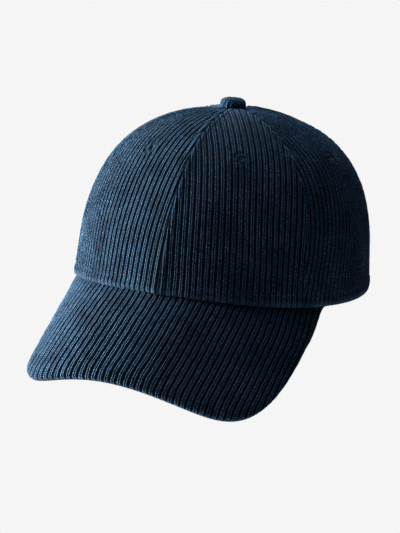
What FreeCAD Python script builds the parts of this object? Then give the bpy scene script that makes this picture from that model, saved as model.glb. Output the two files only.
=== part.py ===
import FreeCAD, Part
import math
import os

import Sketcher
from FreeCAD import Placement, Rotation, Vector

# Six-panel corduroy baseball cap with a curved visor, a covered top button, six sewn
# eyelets, a sweatband, and a strap with a flip-lever clasp across the opening at the back.
#
# Frame, in millimetres: the origin is the centre of the head opening, +Z is up through the
# button, -Y is the front and +X is the wearer's left. "turn" is the angle round the crown
# from the front seam towards the wearer's left, "rise" climbs from 0 at the rim to a quarter
# turn at the button, and "depth" is measured inwards from the outer face of the cloth.

DIMENSIONS = [
    ("half_width", 87, "crown, centre to outer face at the side of the rim"),
    ("half_length_front", 92, "crown, centre to outer face at the front of the rim"),
    ("half_length_back", 100, "crown, centre to outer face at the back of the rim"),
    ("crown_height", 105, "rim to the outer face under the button"),
    ("front_plan_power", 2.2, "roundness of the front profile across"),
    ("side_plan_power", 2.05, "roundness of the side profile across"),
    ("back_plan_power", 2.6, "roundness of the back profile across"),
    ("front_rise_power", 1.95, "roundness of the front profile upwards"),
    ("side_rise_power", 3.1, "roundness of the side profile upwards"),
    ("back_rise_power", 2.6, "roundness of the back profile upwards"),
    ("rim_wave", 1.0, "how much the rim lifts over the middle of the visor"),
    ("button_hole_radius", 2.5, "hole left by the six panel tips under the button"),
    ("seam_gap", 0.1, "gap between the cut edges of two panels"),
    ("seam_lean", 2.5, "degrees of turn by which the front side seams come forward at the rim"),
    ("cloth_thickness", 1.8, "wide-wale corduroy with its pile"),
    ("interlining_thickness", 0.5, "fused interlining behind the front panels"),
    ("interlining_depth", 1.85, "outer face of the interlining"),
    ("tape_thickness", 0.5, "seam tape"),
    ("tape_width", 12, "seam tape"),
    ("tape_depth", 2.4, "outer face of the seam tapes"),
    ("padding_thickness", 1.0, "foam strip at the forehead"),
    ("padding_depth", 3.1, "outer face of the foam strip"),
    ("sweatband_thickness", 1.2, "folded twill"),
    ("sweatband_tall", 32, "sweatband, bottom to top edge"),
    ("sweatband_depth", 4.2, "outer face of the sweatband at the front"),
    ("sweatband_back_depth", 7.6, "outer face of the sweatband beside the back opening"),
    ("label_thickness", 0.4, "blank care label"),
    ("label_depth", 3.1, "outer face of the care label"),
    ("arch_width", 80, "opening at the back, at the rim"),
    ("arch_tall", 46, "opening at the back, rim to its top"),
    ("binding_width", 9, "facing tape round the back opening"),
    ("binding_thickness", 0.6, "facing tape round the back opening"),
    ("binding_depth", 1.9, "outer face of the facing tape"),
    ("eyelet_rise", 51.5, "eyelets, degrees of rise up the middle of each panel"),
    ("eyelet_radius", 4.0, "stitched ring"),
    ("eyelet_hole_radius", 1.2, "open hole"),
    ("eyelet_barrel_radius", 1.9, "thread wrapped through the cloth"),
    ("eyelet_proud", 0.5, "ring above the cloth"),
    ("eyelet_length", 3.0, "ring's face to the inner end of its barrel"),
    ("visor_half_width", 81.6, "middle to the corner where the visor leaves the rim"),
    ("visor_length", 71.7, "joint to front edge along the cloth, at the middle"),
    ("visor_length_gain", 0.47, "share by which it is longer towards the sides"),
    ("visor_corner_across", 6.0, "power of the rounded corner, across"),
    ("visor_corner_along", 4.9, "power of the rounded corner, along"),
    ("visor_slope", 38, "degrees down from level"),
    ("visor_edge_slope", 78, "degrees down from level at the rolled front edge"),
    ("visor_roll", 11, "length of the rolled front edge"),
    ("visor_joint_gap", 0.2, "joint between visor and crown"),
    ("cover_thickness", 1.6, "cloth of the visor covers"),
    ("board_thickness", 2.2, "plastic visor board"),
    ("board_inset", 3.5, "board's edge inside the covers' edge"),
    ("layer_gap", 0.15, "gap between the layers of the visor"),
    ("button_radius", 8.0, "covered button"),
    ("button_tall", 6.4, "covered button"),
    ("button_cloth", 0.8, "cloth at the button's rim"),
    ("button_cloth_top", 1.5, "cloth at the button's top"),
    ("shell_wall", 0.7, "metal shell inside the button"),
    ("button_lift", 0.2, "button's underside above the crown"),
    ("rivet_radius", 1.6, "shank through the crown"),
    ("rivet_top", 3.6, "shank's top above the crown"),
    ("rivet_bottom", 5.2, "shank's lower end below the crown's outer face"),
    ("washer_radius", 5.5, "pressed washer inside the crown"),
    ("washer_thickness", 0.8, "pressed washer inside the crown"),
    ("strap_tall", 20, "adjuster strap"),
    ("strap_thickness", 2.0, "adjuster strap"),
    ("strap_bottom", 3, "strap's lower edge above the rim"),
    ("strap_depth", 2.7, "outer face of the strap"),
    ("strap_right", 56, "sewn end, from the middle"),
    ("strap_left", 58, "tucked end, from the middle"),
    ("buckle_side", 16, "clasp, from the middle towards the wearer's left"),
    ("frame_length", 18, "clasp frame along the strap"),
    ("frame_tall", 24, "clasp frame across the strap"),
    ("frame_wall", 1.0, "clasp plate"),
    ("frame_depth", 3.4, "clasp plate's outer face behind the strap's middle"),
    ("ear_wall", 1.3, "clasp's side walls"),
    ("ear_length", 7.5, "clasp's side walls along the strap"),
    ("ear_front", 5.2, "clasp's side walls in front of the strap's middle"),
    ("bar_length", 1.6, "end bar that the tab is folded round"),
    ("slot_length", 2.2, "slot beside the end bar"),
    ("slot_tall", 21, "slot beside the end bar"),
    ("pin_back", 5.4, "hinge axis, from the clasp's middle towards the wearer's right"),
    ("pin_front", 3.45, "hinge axis in front of the strap's middle"),
    ("pin_radius", 0.9, "hinge pin"),
    ("pin_clearance", 0.05, "between the hinge pin and the lever's barrel"),
    ("pin_overhang", 0.3, "pin past each side wall"),
    ("barrel_radius", 1.95, "lever's barrel"),
    ("lever_wall", 1.0, "lever's plate"),
    ("lever_tall", 20.8, "lever across the strap"),
    ("lever_reach", 14.2, "hinge axis to the lever's tip"),
    ("lever_lip", 0.9, "thumb lip at the lever's tip"),
    ("tab_thickness", 1.6, "fabric tab, two layers"),
    ("tab_layer", 0.8, "fabric tab, one layer"),
    ("tab_depth", 5.65, "outer face of the tab behind the left panel"),
    ("tab_left", 54, "sewn end of the tab, from the middle"),
    ("tab_tall", 20.4, "fabric tab"),
]

doc = FreeCAD.newDocument("BaseballCap")
sheet = doc.addObject("Spreadsheet::Sheet", "Dimensions")
for row, (alias, value, meaning) in enumerate(DIMENSIONS, start=1):
    sheet.set("A%d" % row, alias)
    sheet.set("B%d" % row, str(value))
    sheet.setAlias("B%d" % row, alias)
    sheet.set("C%d" % row, meaning)
doc.recompute()

subparts = []


def size(alias):
    return float(sheet.get(alias))


def worked_out(formula):
    """The value of a formula of the spreadsheet's cells, worked out in its spare cell E1."""
    sheet.set("E1", "=" + formula)
    sheet.recompute()
    return float(sheet.get("E1"))


def cell(formula):
    """The formula with each alias in it pointing at the spreadsheet."""
    words = formula.split()
    names = {alias for alias, value, meaning in DIMENSIONS}
    return " ".join("Dimensions." + word if word in names else word for word in words)


def bind(item, **formulas):
    for name, formula in formulas.items():
        item.setExpression(name, cell(formula))


def keep(item, label):
    """Marks a document object as one of the cap's pieces."""
    item.Label = label
    subparts.append(item)
    return item


def shaped_piece(label, shape):
    """A sewn piece whose curved shape comes from the surfaces below."""
    item = doc.addObject("Part::Feature", label)
    item.Shape = shape
    item.Placement = Placement()
    return keep(item, label)


# ---------------------------------------------------------------- the crown's surface

QUARTER = math.pi / 2
PANEL_TURN = math.pi / 3
NUDGE = 0.001
PROFILE = {name: [size("%s_%s_power" % (side, name)) for side in ("front", "side", "back")]
           for name in ("plan", "rise")}


def round_the_crown(turn, front, side, back):
    """A value that changes smoothly from the front to the sides and the back."""
    ahead = max(math.cos(turn), 0) ** 2
    behind = max(-math.cos(turn), 0) ** 2
    return front * ahead + back * behind + side * (1 - ahead - behind)


def rim_height(turn):
    return size("rim_wave") * (math.cos(2 * turn) + 1.2 * math.cos(3 * turn))


def crown_outside(turn, rise):
    climb = max(math.sin(rise), 0)
    plan_power = round_the_crown(turn, *PROFILE["plan"])
    rise_power = round_the_crown(turn, *PROFILE["rise"])
    reach = (1 - min(climb, 1) ** rise_power) ** (1 / plan_power)
    length = HALF_LENGTH_FRONT if math.cos(turn) > 0 else HALF_LENGTH_BACK
    height = CROWN_HEIGHT * climb + rim_height(turn) * (1 - climb) ** 3
    return Vector(HALF_WIDTH * math.sin(turn) * reach, -length * math.cos(turn) * reach, height)


HALF_WIDTH = size("half_width")
HALF_LENGTH_FRONT = size("half_length_front")
HALF_LENGTH_BACK = size("half_length_back")
CROWN_HEIGHT = size("crown_height")


def crown_normal(turn, rise):
    across = crown_outside(turn + NUDGE, rise) - crown_outside(turn - NUDGE, rise)
    upward = crown_outside(turn, rise + NUDGE) - crown_outside(turn, rise - NUDGE)
    return across.cross(upward).normalize()


def crown_point(turn, rise, depth):
    return crown_outside(turn, rise) - crown_normal(turn, rise) * depth


def rise_at_height(height):
    return math.asin(height / CROWN_HEIGHT)


def rise_at_radius(turn, radius):
    """The rise at which the crown is that far from the button's axis."""
    low, high = QUARTER / 2, QUARTER - NUDGE
    for halving in range(40):
        middle = (low + high) / 2
        point = crown_outside(turn, middle)
        if math.hypot(point.x, point.y) > radius:
            low = middle
        else:
            high = middle
    return middle


def seam_turn(seam, rise):
    """Turn of a seam at a rise; the seams either side of the front lean forwards to the rim."""
    lean = {1: -1, 5: 1}.get(seam, 0) * math.radians(size("seam_lean"))
    return seam * PANEL_TURN + lean * math.cos(rise) ** 6


def turn_for(distance, turn, rise):
    """The change of turn that is that distance long across the cloth."""
    across = crown_outside(turn + NUDGE, rise) - crown_outside(turn - NUDGE, rise)
    return distance * 2 * NUDGE / across.Length


def back_turn(side):
    """The turn at which the back of the rim is that far to the wearer's left."""
    return math.pi - math.asin(side / HALF_WIDTH)


# ---------------------------------------------------------------- curved sheets as solids

def sheet_solid(place, depths, columns, rows):
    """Closed solid between two depths of the surface place(across, along, depth).

    across and along run from 0 to 1.
    """
    faces = []
    surfaces = []
    for depth in depths:
        grid = [[place(column / columns, row / rows, depth) for row in range(rows + 1)]
                for column in range(columns + 1)]
        surface = Part.BSplineSurface()
        surface.interpolate(grid)
        surfaces.append(surface)
        faces.append(surface.toShape())
    outer, inner = surfaces
    for end in (0, 1):
        faces.append(Part.makeRuledSurface(outer.uIso(end).toShape(), inner.uIso(end).toShape()))
        faces.append(Part.makeRuledSurface(outer.vIso(end).toShape(), inner.vIso(end).toShape()))
    shell = Part.makeShell(faces)
    shell.sewShape()
    solid = Part.makeSolid(shell)
    if solid.Volume < 0:
        solid.reverse()
    return solid


def crown_sheet(turns, rises, depth, thickness, columns=8, rows=12):
    """Sheet on the crown; turns(rise) and rises(turn) give its side, lower and upper edges."""
    def place(across, along, inwards):
        first, last = turns(rises(0)[0])
        turn = first + (last - first) * across
        for settle in range(3):
            low, high = rises(turn)
            rise = low + (high - low) * along
            first, last = turns(rise)
            turn = first + (last - first) * across
        return crown_point(turn, rise, inwards)
    return sheet_solid(place, (depth, depth + thickness), columns, rows)


def arch_tool(margin):
    """Block that fills the back opening, grown outwards by the margin."""
    half = size("arch_width") / 2 + margin
    top = size("arch_tall") + margin
    below = -20
    arc = Part.BSplineCurve()
    arc.interpolate([Vector(half * math.cos(k * math.pi / 12), top * math.sin(k * math.pi / 12), 0)
                     for k in range(13)])
    edge = arc.toShape()
    corners = [arc.EndPoint, Vector(-half, below, 0), Vector(half, below, 0), arc.StartPoint]
    sides = [Part.makeLine(corners[k], corners[k + 1]) for k in range(3)]
    face = Part.Face(Part.Wire([edge] + sides))
    block = face.extrude(Vector(0, 0, 60))
    block.Placement = Placement(Vector(0, 110, 0), Rotation(Vector(1, 0, 0), 90))
    return block


def eyelet_place(panel):
    """Placement of a panel's eyelet, its +Z pointing out of the cloth."""
    turn = (panel + 0.5) * PANEL_TURN
    rise = math.radians(size("eyelet_rise"))
    turning = Rotation(Vector(0, 0, 1), crown_normal(turn, rise))
    return Placement(crown_outside(turn, rise), turning)


def eyelet_drill(panel, radius):
    drill = Part.makeCylinder(radius, 12, Vector(0, 0, -8))
    drill.Placement = eyelet_place(panel)
    return drill


# ---------------------------------------------------------------- crown

PANELS = ["front_panel_left", "side_panel_left", "back_panel_left",
          "back_panel_right", "side_panel_right", "front_panel_right"]


def panel_turns(panel):
    """Side edges of a panel, half a seam gap from each seam."""
    def turns(rise):
        first, last = seam_turn(panel, rise), seam_turn(panel + 1, rise)
        gap = size("seam_gap") / 2
        return first + turn_for(gap, first, rise), last - turn_for(gap, last, rise)
    return turns


def panel_rises(turn):
    return 0, rise_at_radius(turn, size("button_hole_radius"))


def crown_panels():
    eyelet_clearance = size("eyelet_barrel_radius") + 0.1
    for panel, label in enumerate(PANELS):
        cloth = crown_sheet(panel_turns(panel), panel_rises, 0, size("cloth_thickness"), 10, 22)
        cloth = cloth.cut(eyelet_drill(panel, eyelet_clearance))
        if label.startswith("back"):
            cloth = cloth.cut(arch_tool(0))
        shaped_piece(label, cloth)


def front_interlinings():
    margin = 1.5

    def rises(turn):
        return rise_at_height(3), math.radians(68)

    for panel, label in ((0, "front_interlining_left"), (5, "front_interlining_right")):
        def turns(rise, panel=panel):
            first, last = seam_turn(panel, rise), seam_turn(panel + 1, rise)
            return first + turn_for(margin, first, rise), last - turn_for(margin, last, rise)
        lining = crown_sheet(turns, rises, size("interlining_depth"),
                             size("interlining_thickness"), 8, 14)
        shaped_piece(label, lining.cut(eyelet_drill(panel, size("eyelet_barrel_radius") + 0.1)))


def seam_tapes():
    """Tapes over the six seams, narrowing where they meet under the button."""
    tapes = ["front_seam_tape", "front_left_seam_tape", "rear_left_seam_tape",
             "back_seam_tape", "rear_right_seam_tape", "front_right_seam_tape"]
    narrow_share = 0.44
    for seam, label in enumerate(tapes):
        def turns(rise, seam=seam):
            middle = seam_turn(seam, rise)
            point = crown_outside(middle, rise)
            half = min(size("tape_width") / 2, narrow_share * math.hypot(point.x, point.y))
            return middle - turn_for(half, middle, rise), middle + turn_for(half, middle, rise)

        start = 2 if label != "back_seam_tape" else size("arch_tall") + size("binding_width") + 1

        def rises(turn, seam=seam, start=start):
            top = rise_at_radius(seam * PANEL_TURN, size("washer_radius") + 1.5)
            return rise_at_height(start), top

        shaped_piece(label, crown_sheet(turns, rises, size("tape_depth"),
                                        size("tape_thickness"), 4, 20))


def sweatband():
    """Twill band round the inside of the rim, open where the back is open."""
    end = back_turn(size("arch_width") / 2 + 1)
    front, back = size("sweatband_depth"), size("sweatband_back_depth")
    start_of_step, step = math.radians(105), math.radians(35)
    foot = rise_at_height(0.4)
    top = rise_at_height(size("sweatband_tall"))

    def place(across, along, inwards):
        turn = end * (2 * across - 1)
        share = min(max((abs(turn) - start_of_step) / step, 0), 1)
        step_in = (back - front) * share * share * (3 - 2 * share)
        return crown_point(turn, foot + (top - foot) * along, inwards + step_in)

    band = sheet_solid(place, (front, front + size("sweatband_thickness")), 60, 6)
    shaped_piece("sweatband", band)


def simple_patch(label, first, last, low, high, depth, thickness, columns=8, rows=4):
    """Rectangular piece on the crown between two turns and two heights."""
    rises = (rise_at_height(low), rise_at_height(high))
    shaped_piece(label, crown_sheet(lambda rise: (first, last), lambda turn: rises,
                                    depth, thickness, columns, rows))


def forehead_padding():
    spread = math.radians(64)
    simple_patch("sweatband_padding", -spread, spread, 4, size("sweatband_tall") - 4,
                 size("padding_depth"), size("padding_thickness"), 20)


def care_label():
    middle, half_spread = math.radians(88), math.radians(8)
    simple_patch("care_label", middle - half_spread, middle + half_spread, 24, 58,
                 size("label_depth"), size("label_thickness"))


def arch_binding():
    """Facing tape that follows the edge of the back opening on the inside."""
    half_spread = math.radians(42)
    rises = (rise_at_height(0.4), rise_at_height(size("arch_tall") + size("binding_width") + 6))
    band = crown_sheet(lambda rise: (math.pi - half_spread, math.pi + half_spread),
                       lambda turn: rises, size("binding_depth"), size("binding_thickness"),
                       20, 12)
    band = band.common(arch_tool(size("binding_width"))).cut(arch_tool(0))
    shaped_piece("back_arch_binding", band.Solids[0])


def eyelets():
    """Six stitched rings: a flat ring on the cloth and thread wrapped through the hole."""
    rings = []
    for panel in range(len(PANELS)):
        face = 0.15
        ring = Part.makeCylinder(size("eyelet_radius"), size("eyelet_proud") - face,
                                 Vector(0, 0, face))
        barrel = Part.makeCylinder(size("eyelet_barrel_radius"), size("eyelet_length"),
                                   Vector(0, 0, size("eyelet_proud") - size("eyelet_length")))
        hole = Part.makeCylinder(size("eyelet_hole_radius"), 12, Vector(0, 0, -8))
        solid = ring.fuse(barrel).cut(hole).removeSplitter()
        solid.Placement = eyelet_place(panel)
        rings.append(solid)
    shaped_piece("sewn_eyelets", Part.makeCompound(rings))


# ---------------------------------------------------------------- visor

def visor_edge(across, inset):
    """Length of the visor along the cloth at a place across it, from -1 to 1."""
    corner = (1 - abs(across) ** size("visor_corner_across")) ** (1 / size("visor_corner_along"))
    full = size("visor_length") * (1 + size("visor_length_gain") * across ** 2)
    return full * corner - inset


def visor_path(travel, edge, across):
    """Forward and downward distance after a travel along the cloth: straight, then rolled.

    The roll fades out towards the corners, where the edge turns back to the rim.
    """
    slope = math.radians(size("visor_slope"))
    roll = min(size("visor_roll"), edge)
    fade = 1 - 0.98 * across ** 6
    bend = (math.radians(size("visor_edge_slope")) - slope) * fade / roll
    straight = min(travel, edge - roll)
    rolled = max(travel - (edge - roll), 0)
    now = slope + bend * rolled
    forward = straight * math.cos(slope) + (math.sin(now) - math.sin(slope)) / bend
    down = straight * math.sin(slope) + (math.cos(slope) - math.cos(now)) / bend
    return forward, down


def visor_outside(across, travel):
    side = size("visor_half_width") * across
    turn = math.asin(side / HALF_WIDTH)
    forward, down = visor_path(travel, visor_edge(across, 0), across)
    return Vector(side, -HALF_LENGTH_FRONT * math.cos(turn) - forward, rim_height(turn) - down)


def visor_layer(label, depth, thickness, inset):
    """One layer of the visor, its edge that far inside the top cover's edge."""
    spread = math.radians(88) - inset / size("visor_half_width")
    start = size("visor_joint_gap") + inset / 3

    def place(part_across, along, inwards):
        across = math.sin(spread * (2 * part_across - 1))
        travel = start + (visor_edge(across, inset) - start) * along
        step = NUDGE if across < 0 else -NUDGE
        sideways = (visor_outside(across + step, travel) - visor_outside(across, travel)) * step
        ahead = visor_outside(across, travel) - visor_outside(across, travel - 10 * NUDGE)
        normal = ahead.cross(sideways).normalize()
        return visor_outside(across, travel) - normal * inwards

    shaped_piece(label, sheet_solid(place, (depth, depth + thickness), 60, 26))


def visor():
    cover, board, gap = size("cover_thickness"), size("board_thickness"), size("layer_gap")
    visor_layer("visor_top_cover", 0, cover, 0)
    visor_layer("visor_board", cover + gap, board, size("board_inset"))
    visor_layer("visor_under_cover", cover + board + 2 * gap, cover, 0.5)


# ---------------------------------------------------------------- top button

def origin_plane(body, role):
    return next(plane for plane in body.Origin.OriginFeatures if plane.Role == role)


def polygon_sketch(body, role, name, corners):
    """Closed outline whose corners are placed by formulas of the spreadsheet's cells."""
    outline = body.newObject("Sketcher::SketchObject", name)
    outline.AttachmentSupport = [(origin_plane(body, role), "")]
    outline.MapMode = "FlatFace"
    points = [Vector(worked_out(x), worked_out(y), 0) for x, y in corners]
    count = len(points)
    for k in range(count):
        outline.addGeometry(Part.LineSegment(points[k], points[(k + 1) % count]), False)
    for k in range(count):
        outline.addConstraint(Sketcher.Constraint("Coincident", k, 2, (k + 1) % count, 1))
    for k, (x, y) in enumerate(corners):
        for direction, value, formula in (("DistanceX", points[k].x, x),
                                          ("DistanceY", points[k].y, y)):
            number = outline.addConstraint(Sketcher.Constraint(direction, -1, 1, k, 1, value))
            outline.setExpression("Constraints[%d]" % number, cell(formula))
    return outline


def half_dome(name, radius, tall):
    dome = doc.addObject("Part::Ellipsoid", name)
    bind(dome, Radius1=tall, Radius2=radius, Radius3=radius)
    dome.Angle1 = 0
    return dome


def dome_shell(label, outer, inner):
    shell = doc.addObject("Part::Cut", label)
    shell.Base = half_dome(label + "_outside", *outer)
    shell.Tool = half_dome(label + "_inside", *inner)
    shell.Placement = Placement(Vector(0, 0, CROWN_HEIGHT + size("button_lift")), Rotation())
    keep(shell, label)


def button():
    cloth_inside = ("button_radius - button_cloth", "button_tall - button_cloth_top")
    shell_outside = ("button_radius - button_cloth - layer_gap",
                     "button_tall - button_cloth_top - layer_gap")
    shell_inside = ("button_radius - button_cloth - layer_gap - shell_wall",
                    "button_tall - button_cloth_top - layer_gap - shell_wall")
    dome_shell("button_cover", ("button_radius", "button_tall"), cloth_inside)
    dome_shell("button_shell", shell_outside, shell_inside)

    rivet = doc.addObject("PartDesign::Body", "button_rivet")
    profile = polygon_sketch(rivet, "XZ_Plane", "rivet_profile", [
        ("0", "-1 * rivet_bottom"),
        ("washer_radius", "-1 * rivet_bottom"),
        ("washer_radius", "washer_thickness - rivet_bottom"),
        ("rivet_radius", "washer_thickness - rivet_bottom"),
        ("rivet_radius", "rivet_top"),
        ("0", "rivet_top"),
    ])
    turned = rivet.newObject("PartDesign::Revolution", "rivet_turned")
    turned.Profile = profile
    turned.ReferenceAxis = (profile, ["V_Axis"])
    turned.Angle = 360
    rivet.Placement = Placement(Vector(0, 0, CROWN_HEIGHT), Rotation())
    keep(rivet, "button_rivet")


# ---------------------------------------------------------------- strap, tab and clasp

def strap_middle_height():
    return size("strap_bottom") + size("strap_tall") / 2


def clasp_place():
    """Clasp frame of reference: X along the strap, Y out of the cap, Z up."""
    turn = back_turn(size("buckle_side"))
    rise = rise_at_height(strap_middle_height())
    outward = crown_normal(turn, rise)
    middle = crown_point(turn, rise, size("strap_depth") + size("strap_thickness") / 2)
    swing = -math.degrees(math.atan2(outward.x, outward.y))
    middle.z = strap_middle_height()
    return Placement(middle, Rotation(Vector(0, 0, 1), swing))


def strap():
    low = size("strap_bottom")
    simple_patch("adjuster_strap", back_turn(size("strap_left")),
                 back_turn(-size("strap_right")), low, low + size("strap_tall"),
                 size("strap_depth"), size("strap_thickness"), 20)


def pad(body, profile, name, length, reversed_way=False, both_ways=True):
    raised = body.newObject("PartDesign::Pad", name)
    raised.Profile = profile
    bind(raised, Length=length)
    raised.Midplane = both_ways
    raised.Reversed = reversed_way
    return raised


def checked_pocket(body, profile, name, length):
    """Pocket cut both ways from the sketch; it must remove material."""
    doc.recompute()
    before = body.Shape.Volume
    cut = body.newObject("PartDesign::Pocket", name)
    cut.Profile = profile
    bind(cut, Length=length)
    cut.Midplane = True
    doc.recompute()
    if body.Shape.Volume >= before:
        raise RuntimeError(name + " removes nothing")
    return cut


def circle_sketch(body, name, x, y, radius):
    outline = body.newObject("Sketcher::SketchObject", name)
    outline.AttachmentSupport = [(origin_plane(body, "XY_Plane"), "")]
    outline.MapMode = "FlatFace"
    centre = Vector(worked_out(x), worked_out(y), 0)
    outline.addGeometry(Part.Circle(centre, Vector(0, 0, 1), 1), False)
    for direction, formula, value in (("DistanceX", x, centre.x), ("DistanceY", y, centre.y)):
        number = outline.addConstraint(Sketcher.Constraint(direction, -1, 1, 0, 3, value))
        outline.setExpression("Constraints[%d]" % number, cell(formula))
    number = outline.addConstraint(Sketcher.Constraint("Radius", 0, 1))
    outline.setExpression("Constraints[%d]" % number, cell(radius))
    return outline


def clasp_frame():
    """Bent plate: a back behind the strap, two side walls with pin holes, and an end bar."""
    body = doc.addObject("PartDesign::Body", "buckle_frame")
    profile = polygon_sketch(body, "XY_Plane", "frame_side", [
        ("-0.5 * frame_length", "-1 * frame_depth - frame_wall"),
        ("0.5 * frame_length", "-1 * frame_depth - frame_wall"),
        ("0.5 * frame_length", "-1 * frame_depth"),
        ("ear_length - 0.5 * frame_length", "-1 * frame_depth"),
        ("ear_length - 0.5 * frame_length", "ear_front - 1.6"),
        ("ear_length - 0.5 * frame_length - 1.6", "ear_front"),
        ("1.6 - 0.5 * frame_length", "ear_front"),
        ("-0.5 * frame_length", "ear_front - 1.6"),
    ])
    pad(body, profile, "frame_block", "frame_tall")
    channel = polygon_sketch(body, "XY_Plane", "strap_channel", [
        ("-1 * frame_length", "-1 * frame_depth"),
        ("frame_length", "-1 * frame_depth"),
        ("frame_length", "2 * ear_front"),
        ("-1 * frame_length", "2 * ear_front"),
    ])
    checked_pocket(body, channel, "channel_cut", "frame_tall - 2 * ear_wall")
    slot = polygon_sketch(body, "XY_Plane", "tab_slot", [
        ("0.5 * frame_length - bar_length - slot_length", "-2 * frame_depth"),
        ("0.5 * frame_length - bar_length", "-2 * frame_depth"),
        ("0.5 * frame_length - bar_length", "0"),
        ("0.5 * frame_length - bar_length - slot_length", "0"),
    ])
    checked_pocket(body, slot, "slot_cut", "slot_tall")
    hole = circle_sketch(body, "pin_hole", "-1 * pin_back", "pin_front", "pin_radius")
    checked_pocket(body, hole, "pin_hole_cut", "2 * frame_tall")
    body.Placement = clasp_place()
    keep(body, "buckle_frame")


def clasp_pin():
    pin = doc.addObject("Part::Cylinder", "buckle_pin")
    bind(pin, Radius="pin_radius", Height="frame_tall + 2 * pin_overhang")
    local = Vector(-size("pin_back"), size("pin_front"),
                   -size("frame_tall") / 2 - size("pin_overhang"))
    pin.Placement = clasp_place().multiply(Placement(local, Rotation()))
    keep(pin, "buckle_pin")


def clasp_lever():
    """Cover plate with a barrel round the pin; closed, it lies over the strap."""
    body = doc.addObject("PartDesign::Body", "buckle_lever")
    profile = polygon_sketch(body, "XY_Plane", "lever_side", [
        ("-1 * pin_back", "pin_front - 0.1"),
        ("lever_reach - pin_back - 1.2", "pin_front - 0.1"),
        ("lever_reach - pin_back", "pin_front - 0.1 + lever_lip"),
        ("lever_reach - pin_back - 0.5", "pin_front - 0.1 + lever_lip + lever_wall"),
        ("lever_reach - pin_back - 1.7", "pin_front - 0.1 + lever_wall"),
        ("-1 * pin_back", "pin_front - 0.1 + lever_wall"),
    ])
    pad(body, profile, "lever_plate", "lever_tall")
    barrel = circle_sketch(body, "barrel_outline", "-1 * pin_back", "pin_front", "barrel_radius")
    pad(body, barrel, "lever_barrel", "lever_tall")
    bore = circle_sketch(body, "bore_outline", "-1 * pin_back", "pin_front",
                         "pin_radius + pin_clearance")
    checked_pocket(body, bore, "lever_bore", "2 * lever_tall")
    body.Placement = clasp_place()
    keep(body, "buckle_lever")


def clasp_tab():
    """Fabric tab folded round the clasp's end bar and sewn behind the left back panel."""
    low = strap_middle_height() - size("tab_tall") / 2
    place = clasp_place()
    bar_end = size("frame_length") / 2
    layer = size("tab_layer")
    slack = 0.12
    outer_low = Vector(bar_end - size("bar_length") - layer - slack,
                       -size("frame_depth") - size("frame_wall") - layer - slack,
                       -size("tab_tall") / 2)
    outer_high = Vector(bar_end + layer + 1.2, -size("frame_depth") + layer + slack, 0)
    eye = Part.makeBox(outer_high.x - outer_low.x, outer_high.y - outer_low.y,
                       size("tab_tall"), outer_low)
    bar_room = Part.makeBox(size("bar_length") + 2 * slack, size("frame_wall") + 2 * slack,
                            2 * size("tab_tall"),
                            Vector(bar_end - size("bar_length") - slack,
                                   -size("frame_depth") - size("frame_wall") - slack,
                                   -size("tab_tall")))
    eye = eye.cut(bar_room)
    eye.Placement = place
    start = place.multVec(Vector(outer_high.x + 0.6, 0, 0)).x
    rises = (rise_at_height(low), rise_at_height(low + size("tab_tall")))
    strip = crown_sheet(lambda rise: (back_turn(size("tab_left")), back_turn(start)),
                        lambda turn: rises, size("tab_depth"), size("tab_thickness"), 10, 4)
    shaped_piece("buckle_tab", eye.fuse(strip).removeSplitter())


# ---------------------------------------------------------------- build and write

def main():
    crown_panels()
    front_interlinings()
    seam_tapes()
    sweatband()
    forehead_padding()
    care_label()
    arch_binding()
    eyelets()
    visor()
    button()
    strap()
    clasp_frame()
    clasp_pin()
    clasp_lever()
    clasp_tab()
    doc.recompute()

    for item in doc.Objects:
        if {"Invalid", "Error"} & set(item.State):
            raise RuntimeError("%s failed: %s" % (item.Label, item.State))
    for item in subparts:
        if item.Shape.isNull() or not item.Shape.isValid() or item.Shape.Volume <= 0:
            raise RuntimeError(item.Label + " has no valid solid")

    os.makedirs("parts", exist_ok=True)
    for item in subparts:
        item.Shape.exportStep(os.path.join("parts", item.Label + ".step"))
        print("%-24s %9.1f mm3, %d solid(s)" % (item.Label, item.Shape.Volume,
                                                len(item.Shape.Solids)))
    pivot = clasp_place().multVec(Vector(-size("pin_back"), size("pin_front"), 0))
    print("hinge axis at", [round(value, 3) for value in pivot], "along +Z")


main()
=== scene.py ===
import math
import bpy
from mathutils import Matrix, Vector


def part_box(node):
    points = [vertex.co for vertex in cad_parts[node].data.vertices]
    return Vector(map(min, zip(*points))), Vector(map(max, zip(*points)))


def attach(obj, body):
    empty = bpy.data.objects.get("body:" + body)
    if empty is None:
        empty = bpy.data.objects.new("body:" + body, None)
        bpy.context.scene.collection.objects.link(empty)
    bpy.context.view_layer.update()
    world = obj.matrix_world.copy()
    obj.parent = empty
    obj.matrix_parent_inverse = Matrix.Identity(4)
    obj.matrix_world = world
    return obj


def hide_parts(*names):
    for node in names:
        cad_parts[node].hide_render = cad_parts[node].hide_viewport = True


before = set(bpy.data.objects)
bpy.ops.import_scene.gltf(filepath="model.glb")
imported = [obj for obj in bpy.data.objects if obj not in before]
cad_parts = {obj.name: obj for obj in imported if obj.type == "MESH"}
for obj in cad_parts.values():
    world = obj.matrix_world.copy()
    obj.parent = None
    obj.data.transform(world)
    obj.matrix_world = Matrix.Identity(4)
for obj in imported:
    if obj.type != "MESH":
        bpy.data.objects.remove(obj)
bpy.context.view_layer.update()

from types import SimpleNamespace

import bpy
import numpy as np
from mathutils import Matrix, Vector

# Corduroy baseball cap. Shapes are worked out in millimetres in the frame's own axes (-Y is the
# front, +X the wearer's left, +Z up through the button) and turned into metres when a mesh is
# made. "turn" is the angle round the crown from the front seam, "rise" climbs from 0 at the rim
# to a quarter turn at the button, and "depth" is measured inwards from the crown's smooth form;
# the tops of the wales stand PILE_PROUD outside it.

MM = 0.001


# ---------- sizes

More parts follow.
